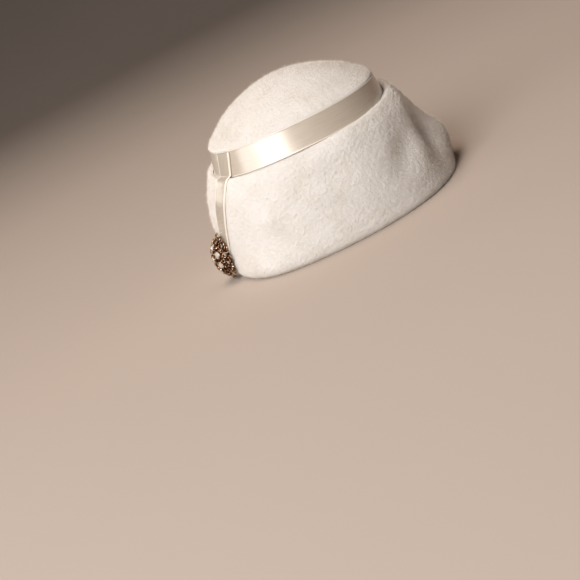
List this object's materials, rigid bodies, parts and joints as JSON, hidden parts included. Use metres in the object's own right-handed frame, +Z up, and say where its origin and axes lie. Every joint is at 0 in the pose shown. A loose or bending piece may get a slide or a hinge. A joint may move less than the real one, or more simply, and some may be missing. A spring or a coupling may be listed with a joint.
{
  "type": "felt hat",
  "caption": "Small felt hat with a rounded crown and a deep flared brim, a satin band and strip, and a stone-set brooch at one side.",
  "frame": {"origin": "on the plane the hem rests on, under the middle of the hat's outline", "axes": "+X to the right of the front view, -Y to the front of the hat, +Z up through the crown"},
  "size_m": [0.2516, 0.24, 0.1515],
  "materials": {
    "wool_felt": "brushed ivory felt with a soft nap",
    "satin_ribbon": "champagne satin with pale selvages",
    "antique_gold": "gold-coloured metal, darkened in the recesses",
    "clear_stone": "clear, cut and polished"
  },
  "bodies": {
    "root": {"crown": "wool_felt", "brim": "wool_felt", "ribbon_band": "satin_ribbon", "ribbon_strip": "satin_ribbon", "brooch_setting": "antique_gold", "stone_1": "clear_stone", "stone_2": "clear_stone", "stone_3": "clear_stone", "stone_4": "clear_stone", "stone_5": "clear_stone", "stone_6": "clear_stone", "stone_7": "clear_stone", "stone_8": "clear_stone"}
  },
  "joints": []
}
